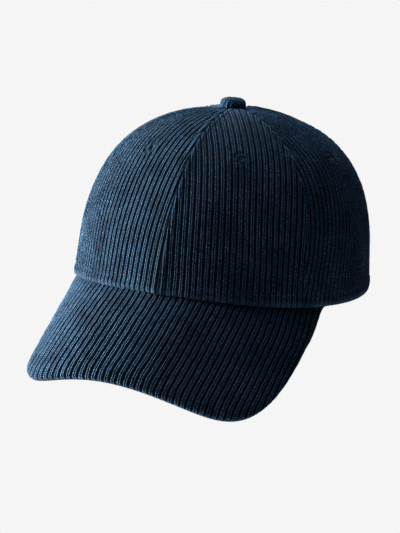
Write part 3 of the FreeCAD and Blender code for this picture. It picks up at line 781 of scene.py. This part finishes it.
def visor_columns(spacing):
    """Places across the visor, from -1 to 1, evenly spaced along the curved cloth."""
    fine = np.sin(np.linspace(-1, 1, 4001) * math.radians(88.6))
    section = visor_outside(fine, 0 * fine)
    slant = np.array([0, -math.cos(VISOR_SLOPE), -math.sin(VISOR_SLOPE)])
    length = distances(section - (section @ slant)[:, None] * slant)
    places = np.linspace(0, length[-1], int(length[-1] / spacing) + 1)
    return np.interp(places, length, fine), places - length[-1] / 2


def distance_to_outline(side, travel, across_line, side_line):
    """Distance along the cloth from each grid point to the visor's outer edge."""
    outline = np.stack([side_line, visor_edge(across_line)], axis=-1)
    outline = np.concatenate([[[side_line[0], 0]], outline, [[side_line[-1], 0]]])
    points = np.stack([side, travel], axis=-1)
    best = np.full(side.shape, 1e9)
    for start, run in zip(outline, np.diff(outline, axis=0)):
        share = np.clip((points - start) @ run / max(run @ run, 1e-9), 0, 1)
        best = np.minimum(best, np.linalg.norm(points - start - share[..., None] * run, axis=-1))
    return best


def visor_phase(points, side, travel):
    """Count of the wales across the visor, which fan out a little towards its edge."""
    wander = 0.2 * ripple(points, 60, 11) + 0.1 * ripple(points, 8, 12)
    spread = 1 + VISOR_FAN * (1 - np.exp(-np.maximum(travel, 0) / VISOR_FAN_RUN))
    drift = 0.045 * np.maximum(travel - 10, 0)
    eased = -np.log(1 - VISOR_EASE * (side - 8.0)) / VISOR_EASE
    return ((eased - 10.0) / spread + drift + wander) / VISOR_PITCH + 0.5


def visor_cover(name, under):
    across, side = visor_columns(FINE)
    start = 0.3 if under else -2.4
    share = 1 - (1 - np.linspace(0, 1, 111)) ** 1.25
    travel = start + (visor_edge(across)[None, :] - start) * share[:, None]
    across_grid, side_grid = (np.broadcast_to(line, travel.shape) for line in (across, side))
    points, normal = visor_outside(across_grid, travel), visor_normal(across_grid, travel)
    inside = distance_to_outline(side_grid, travel, across[::3], side[::3])
    half = VISOR_THICK / 2
    rounding = half - np.sqrt(half ** 2 - np.clip(half - inside, 0, half) ** 2)

    phase = visor_phase(points, side_grid, travel)
    # painted light: towards the wearer's right, the side the key lamp lights, the pile and grooves
    # are lightened through the wear value; the wales are lowered there too
    painted_light_share = smooth_step(-side_grid, 15, 85)
    relief = WALE_HEIGHT * (1 + 0.10 * ripple(points, 5.5, 13)) * wale_relief(phase)
    relief *= (1 - 0.6 * bell(inside, 1.2)) * (1 - 0.3 * painted_light_share)
    depth = rounding + WALE_HEIGHT - PILE_PROUD - relief - 0.25 * ripple(points, 60, 14)
    if under:
        depth = VISOR_THICK - depth
    outer = points - normal * depth[..., None]
    cloth = Sheet()
    # the edge's pressed-flat pile, and the painted light on the lamp-lit side
    worn_and_painted_light = np.maximum(0.4 * bell(inside, 1.5), 0.42 * painted_light_share)
    cloth.grid(outer, phase, travel, worn_and_painted_light, flip=not under)
    if under:
        turned_up = np.stack([outer[0] + normal[0] * up for up in (0.0, 1.6, 3.2, 4.6)])
        cloth.grid(turned_up, phase[:1], travel[:1], worn_and_painted_light=0.7, flip=True)
    cloth.piece(name, VISOR_CORDUROY)


visor_cover("visor_top_cover", False)
visor_cover("visor_under_cover", True)


def visor_board():
    """Thin moulded board midway between the covers, stopping short of the sewn edge."""
    start, margin, narrower = 1.5, 6.0, 0.955
    across = visor_columns(1.5)[0][2:-2]
    edge = np.maximum(visor_edge(across) - margin, 2 * start)
    travel = start + (edge[None, :] - start) * np.linspace(0, 1, 40)[:, None]
    grid = np.broadcast_to(across * narrower, travel.shape)
    points, normal = visor_outside(grid, travel), visor_normal(grid, travel)
    top, bottom = (points - normal * depth for depth in (2.3, 3.6))
    board = Sheet()
    board.grid(top, flip=True)
    board.grid(bottom)
    board.grid(np.stack([border(top), border(bottom)]), close=True)
    board.piece("visor_board", BOARD)


visor_board()


# ---------- button

BUTTON_SHIFT = np.array([-1.1, -0.5, 0.0])


def covered_button():
    """Cushion of corduroy drawn over the button, bulging at the sides and tucked under."""
    radius, middle, above, below, pitch = 8.0, 107.0, 4.4, 3.1, 3.1
    angle = circle(220)
    swing = np.linspace(0, 1, 90)[:, None] * math.radians(121)
    wide = radius * np.sin(swing) ** 0.75
    high = np.where(swing < math.pi / 2, above, -below) * np.abs(np.cos(swing)) ** 0.8
    x, y = wide * np.cos(angle), wide * np.sin(angle)
    points = stacked(x, y, middle + high) + BUTTON_SHIFT
    normal = unit(stacked(np.sin(swing) * np.cos(angle), np.sin(swing) * np.sin(angle),
                          np.cos(swing)))
    phase = (x + 0.5 * ripple(points, 7, 90)) / pitch + 0.5
    gathers = 0.1 * np.sin(angle * 13 + 2 * ripple(points, 9, 92)) * smooth_step(swing, 1.0, 1.7)
    sunk = 0.16 * (1 - wale_relief(phase)) - 0.14 * ripple(points, 7, 91) + gathers
    points = points - normal * sunk[..., None]
    tucked = points[-1:] * [0.85, 0.85, 1] - [0, 0, 0.9]
    # painted light: the button's cloth is lightened towards +x, the side the key lamp leaves in
    # shade, through the wear value
    painted_light_share = 0.55 + 0.6 * (0.9 * x + 0.4 * y) / radius
    cloth = Sheet()
    cloth.grid(np.concatenate([points, tucked]),
               *(np.concatenate([value, value[-1:]]) for value in (phase, y, painted_light_share)), close=True)
    cloth.piece("button_cover", BUTTON_CORDUROY_PAINTED_LIGHTER)


covered_button()


def button_shell():
    """Pressed metal dome that the button's cloth is drawn over."""
    base = 105.4
    angle = circle(96)
    swing = np.linspace(0, math.pi / 2, 16)[:, None]
    shell = Sheet()
    for radius, tall, flip in ((6.4, 4.3, False), (6.0, 3.9, True)):
        wide = radius * np.sin(swing) ** 0.8
        points = stacked(wide * np.cos(angle), wide * np.sin(angle),
                         base + tall * np.cos(swing) ** 0.8)
        shell.grid(points + BUTTON_SHIFT, close=True, flip=flip)
    shell.piece("button_shell", BRASS)


button_shell()


# ---------- sewn eyelets

def sewn_eyelets():
    """Hand-worked looking rings: uneven radial stitches sunk in the puckered pile."""
    rings = Sheet()
    stitches, per_stitch = 24, 8
    inner, wide = 1.25, 2.25
    angle = circle(stitches * per_stitch)
    ridge = np.abs(np.sin(angle * stitches / 2)) ** 0.6
    profile = np.linspace(0, math.pi, 10)[:, None]
    twist = angle + 0.16 * np.cos(profile)
    for panel in range(len(PANELS)):
        local = np.random.default_rng(200 + panel)
        centre, outward = eyelet_centre(panel)
        sideways = unit(np.cross([0, 0, 1], outward))
        upward = np.cross(outward, sideways)
        reach = np.repeat(local.uniform(-0.6, 1.2, stitches), per_stitch)
        tall = np.repeat(local.uniform(0.3, 1.5, stitches), per_stitch)
        across = inner + (wide + reach * ridge) * (1 - np.cos(profile)) / 2
        lift = (0.45 + 0.55 * ridge * tall) * np.sin(profile) ** 0.7 - 1.0
        lift = lift - 1.5 * (profile < 0.01) - 0.25 * (1 + np.cos(profile)) / 2
        points = (centre + across[..., None] * (np.cos(twist)[..., None] * sideways
                                                + np.sin(twist)[..., None] * upward)
                  + lift[..., None] * outward)
        rings.grid(points, close=True, flip=True)
    rings.piece("sewn_eyelets", THREAD)


sewn_eyelets()


# ---------- inside

def crown_strip(cloth, turns, heights, depths, shift=0.0, wale=0.0):
    """Closed band round the crown: a loop of (height, depth) swept through the turns."""
    turn = np.broadcast_to(turns[:, None], (len(turns), len(heights)))
    rise = rise_at_height(np.broadcast_to(heights, turn.shape))
    depth = depths[None, :] + np.broadcast_to(shift, turns.shape)[:, None]
    points = crown_point(turn, rise, depth)
    cloth.grid(points, wale, distances(points[:, 0])[:, None], close=True)
    cloth.cap_ends(points)


def sweatband():
    """Folded twill round the rim, further in behind the back panels."""
    half_tall, height, depth = 15.6, 16.4, 4.8
    end = math.pi - math.asin((ARCH_HALF + 1) / HALF_WIDTH)
    turns = np.linspace(-end, end, 420)
    inwards = 3.4 * smooth_step(np.abs(turns), math.radians(105), math.radians(140))
    section = rounded_section(half_tall, 0.6, 5, 14)
    heights = height + section[:, 0]
    seam = 0.25 * bell(heights, 0.7, 4.0) * np.sign(section[:, 1])
    band = Sheet()
    crown_strip(band, turns, heights, depth - section[:, 1] - seam,
                inwards + 0.25 * np.sin(turns * 23))
    band.piece("sweatband", TWILL)


sweatband()


def seam_tapes():
    """Tape over each seam, folded at its edges and narrower near the button."""
    seams = ("front", "front_left", "rear_left", "back", "rear_right", "front_right")
    half, depth = 6.0, 2.65
    across, out = rounded_section(half, 0.25, 3, 8).T
    fold = 0.22 * bell(np.abs(across), 0.8, 1.6) * np.sign(0.05 - out)
    for seam, place in enumerate(seams):
        start = ARCH_TALL + 10 if place == "back" else 3.0
        top = rise_at_radius(seam * PANEL_TURN, 7.0)
        rise = np.linspace(rise_at_height(start), top, 90)[:, None]
        middle = seam_turn(seam, rise)
        points = crown_outside(middle, rise)
        narrow = np.minimum(1, 0.44 * np.hypot(points[..., 0], points[..., 1]) / half)
        turn = middle + across * narrow / turn_scale(middle, rise)
        tape = Sheet()
        tape.grid(crown_point(turn, rise, depth - out + fold), close=True, flip=True)
        tape.piece(f"{place}_seam_tape", TAPE)


seam_tapes()


def arch_binding():
    """Tape just outside the back opening's edge, on the inside of the cap."""
    columns = []
    angle = np.linspace(0, math.pi, 121)
    for offset, out in rounded_section(4.4, 0.3, 3, 6):
        grow = 4.6 + offset
        height = np.maximum((ARCH_TALL + grow) * np.sin(angle), 0.5)
        turn, rise = back_place((ARCH_HALF + grow) * np.cos(angle), height)
        columns.append(crown_point(turn, rise, 2.2 - out))
    band = Sheet()
    band.grid(np.stack(columns, axis=1), close=True)
    band.piece("back_arch_binding", TAPE)


arch_binding()


def front_interlinings():
    """Stiff fused cloth behind the two front panels, quilted slightly by the glue."""
    margin, hole = 1.7, 3.2
    for panel, name in ((0, "front_interlining_left"), (5, "front_interlining_right")):
        rise = np.linspace(rise_at_height(3), math.radians(68), 90)[:, None]
        first, last = seam_turn(panel, rise), seam_turn(panel + 1, rise)
        inset = margin / turn_scale((first + last) / 2, rise)
        turn = first + inset + (last - first - 2 * inset) * np.linspace(0, 1, 70)
        rise = np.broadcast_to(rise, turn.shape)
        points, normal = crown_outside(turn, rise), crown_normal(turn, rise)
        keep = clear_faces(np.linalg.norm(points - eyelet_centre(panel)[0], axis=-1) < hole)
        quilt = 0.05 * ripple(points, 5, 300 + panel) + 0.05 * ripple(points, 14, 310 + panel)
        outer, inner = (points - normal * (depth + quilt)[..., None] for depth in (1.92, 2.30))
        lining = Sheet()
        lining.grid(outer, keep=keep)
        lining.grid(inner, keep=keep, flip=True)
        lining.grid(np.stack([border(outer), border(inner)]), close=True, flip=True)
        lining.piece(name, INTERLINING)


front_interlinings()


def forehead_pad():
    """Foam strip behind the sweatband, crowned between its stitched edges."""
    half_tall, height, depth = 11.8, 16.0, 3.6
    turns = np.radians(np.linspace(-63.5, 63.5, 180))
    across, out = rounded_section(half_tall, 0.42, 5, 16).T
    swell = 0.05 * np.cos(np.clip(across / half_tall, -1, 1) * math.pi / 2)
    pad = Sheet()
    crown_strip(pad, turns, height + across, depth - out - np.sign(out) * swell)
    item = pad.piece("sweatband_padding", FOAM)


forehead_pad()


def care_label():
    """Blank label that hangs inside the left side panel, its upper part standing off."""
    turns = np.radians(np.linspace(80.5, 95.5, 40))
    across, out = rounded_section(16.5, 0.2, 3, 30).T
    heights = 41 + across
    label = Sheet()
    crown_strip(label, turns, heights, 3.3 - out + 1.5 * smooth_step(heights, 40, 58))
    label.piece("care_label", SATIN)


care_label()


# ---------- strap and tab

STRAP_LOW = 3.0
STRAP_HIGH = 23.0
STRAP_MIDDLE = (STRAP_LOW + STRAP_HIGH) / 2
CLASP_SIDE = 16.0
CLASP_DEPTH = 3.7


def adjuster_strap():
    """Folded strap across the opening, with wales along its length on both faces."""
    half, depth, thick = (STRAP_HIGH - STRAP_LOW) / 2, 2.7, 2.0
    turns = np.linspace(math.pi - math.asin(58 / HALF_WIDTH),
                        math.pi + math.asin(56 / HALF_WIDTH), 150)
    across, out = rounded_section(half, thick / 2, 9, 60).T
    to_edge = half - np.abs(across)
    phase = across / WALE_PITCH
    relief = 0.6 * (1 - wale_relief(phase)) * smooth_step(to_edge, 0.2, 1.5)
    relief += 0.35 * bell(to_edge, 0.4, 2.2)
    strap = Sheet()
    depths = depth + thick / 2 - out + relief * np.sign(out)
    crown_strip(strap, turns, STRAP_MIDDLE + across, depths, 0.12 * np.sin(turns * 17),
                phase[None, :])
    strap.piece("adjuster_strap", CORDUROY)


adjuster_strap()


def buckle_tab():
    """Corduroy tab: two layers along the panel's back that fold round the clasp's end bar."""
    turn, rise = back_place(CLASP_SIDE, STRAP_MIDDLE)
    middle = crown_point(turn, rise, CLASP_DEPTH)
    outward = unit(crown_normal(turn, rise) * [1, 1, 0])
    sideways = np.array([outward[1], -outward[0], 0.0])
    across, out = rounded_section(10.0, 0.36, 5, 40).T
    heights = STRAP_MIDDLE + across
    reach = np.linspace(50.0, 30.5, 16)

    def behind_panel(depth, places):
        return [crown_point(*back_place(np.full(heights.shape, x), heights), depth)
                for x in places]

    def beside_bar(x, y):
        spot = middle + sideways * x + outward * y
        return stacked(spot[0], spot[1], heights)

    rows = behind_panel(6.05, reach)
    rows += [beside_bar(11.2, -3.02), beside_bar(9.4, -2.86)]
    rows += [beside_bar(7.85 + 1.03 * math.cos(angle), -3.9 + 1.04 * math.sin(angle))
             for angle in np.linspace(math.pi / 2, 3 * math.pi / 2, 9)]
    rows += [beside_bar(9.4, -4.94), beside_bar(11.2, -4.86)]
    rows += behind_panel(6.85, reach[::-1])
    path = np.stack(rows)
    aside = unit(np.cross(np.gradient(path, axis=0), [0.0, 0.0, 1.0]))
    phase = across / WALE_PITCH
    pile = 0.12 * (wale_relief(phase) - 1) * np.sign(out)
    points = path - aside * (out + pile)[None, :, None]
    cloth = Sheet()
    cloth.grid(points, phase[None, :], distances(path[:, 0])[:, None], close=True)
    cloth.cap_ends(points, worn_and_painted_light=1.0)
    cloth.piece("buckle_tab", CORDUROY)


buckle_tab()


# ---------- carried-over CAD nodes

def dress(node, material, bevel):
    """Gives a CAD node its material, and rounds its edges a little."""
    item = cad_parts[node]
    item.data.materials.clear()
    item.data.materials.append(material)
    rounding = item.modifiers.new("rounding", "BEVEL")
    rounding.width = bevel * MM
    rounding.segments = 2
    rounding.limit_method = "ANGLE"
    rounding.angle_limit = math.radians(35)


for node in ("buckle_frame", "buckle_lever", "buckle_pin"):
    dress(node, BRASS, 0.15)
dress("button_rivet", BRASS, 0.1)


# ---------- floor, light and camera

BACKDROP = (0.913, 0.913, 0.913, 1)
FLOOR_DROP = -0.45
FLOOR_HALF = 12.0


def pale_to_camera(tree, lit, glow_kind, output):
    """Shows an even pale glow to the camera's own rays, and the lit shader to all others."""
    glow = tree.nodes.new(glow_kind)
    glow.inputs["Color"].default_value = BACKDROP
    seen = tree.nodes.new("ShaderNodeLightPath")
    mix = tree.nodes.new("ShaderNodeMixShader")
    for socket, value in zip(mix.inputs, (seen.outputs["Is Camera Ray"], lit.outputs[0],
                                          glow.outputs[0])):
        tree.links.new(value, socket)
    tree.links.new(mix.outputs[0], tree.nodes[output].inputs[0])


def plain_floor():
    mesh = bpy.data.meshes.new("floor")
    corners = [(x * FLOOR_HALF, y * FLOOR_HALF, FLOOR_DROP)
               for x, y in ((-1, -1), (1, -1), (1, 1), (-1, 1))]
    mesh.from_pydata(corners, [], [(0, 1, 2, 3)])
    material = bpy.data.materials.new("pale_floor")
    material.use_nodes = True
    lit = material.node_tree.nodes["Principled BSDF"]
    lit.inputs["Base Color"].default_value = (0.6, 0.6, 0.6, 1)
    pale_to_camera(material.node_tree, lit, "ShaderNodeEmission", "Material Output")
    mesh.materials.append(material)
    placed("floor", mesh)


plain_floor()


def pale_world():
    world = bpy.data.worlds.new("studio")
    world.use_nodes = True
    dim = world.node_tree.nodes["Background"]
    dim.inputs["Color"].default_value = (1, 1, 1, 1)
    dim.inputs["Strength"].default_value = 0.006
    pale_to_camera(world.node_tree, dim, "ShaderNodeBackground", "World Output")
    bpy.context.scene.world = world


pale_world()
bpy.context.scene.view_settings.view_transform = "Standard"

AZIMUTH = math.radians(23.4)
ELEVATION = math.radians(9.24)
CAMERA_ROLL = math.radians(4.2)
DISTANCE = 1.755
LENS = 194.0


def direction_to(turn, climb):
    """Unit vector at that turn from the front and climb above level."""
    return Vector((math.sin(turn) * math.cos(climb), -math.cos(turn) * math.cos(climb),
                   math.sin(climb)))


def photo_camera():
    lens = bpy.data.cameras.new("camera")
    lens.lens = LENS
    lens.sensor_width = 36.0
    lens.clip_start, lens.clip_end = 0.01, 60
    camera = placed("camera", lens)
    backward = direction_to(AZIMUTH, ELEVATION)
    right = Vector((math.cos(AZIMUTH), math.sin(AZIMUTH), 0))
    up = backward.cross(right)
    target = right * -0.0139 + Vector((0, 0, 0.0062))
    turning = Matrix((right * math.cos(CAMERA_ROLL) + up * math.sin(CAMERA_ROLL),
                      up * math.cos(CAMERA_ROLL) - right * math.sin(CAMERA_ROLL),
                      backward)).transposed()
    camera.matrix_world = Matrix.Translation(target + backward * DISTANCE) @ turning.to_4x4()
    bpy.context.scene.camera = camera


photo_camera()

LIGHT_DISTANCE = 1.6
LIGHT_CENTRE = Vector((0, 0, 0.03))
# name, degrees leftwards from the camera, degrees above level, size, power and colour
LIGHTS = (("key", 106, 1, 0.95, 120, (1.0, 0.96, 0.88)),
          ("behind", 148, 33, 0.8, 14, (1, 1, 1)),
          ("top", 103, 58, 0.9, 9.5, (0.86, 0.94, 1.0)),
          ("rim", 182, 55, 0.8, 4, (1, 1, 1)),
          ("over", 0, 88, 0.8, 2.8, (0.80, 0.88, 1.0)))


def soft_light(name, around, above, size, power, colour):
    lamp = bpy.data.lights.new(name, "AREA")
    lamp.shape = "DISK"
    lamp.size = size
    lamp.energy = power
    lamp.color = colour
    direction = direction_to(AZIMUTH - math.radians(around), math.radians(above))
    light = placed(name, lamp)
    light.location = direction * LIGHT_DISTANCE + LIGHT_CENTRE
    light.rotation_euler = direction.to_track_quat("Z", "Y").to_euler()


for light in LIGHTS:
    soft_light(*light)
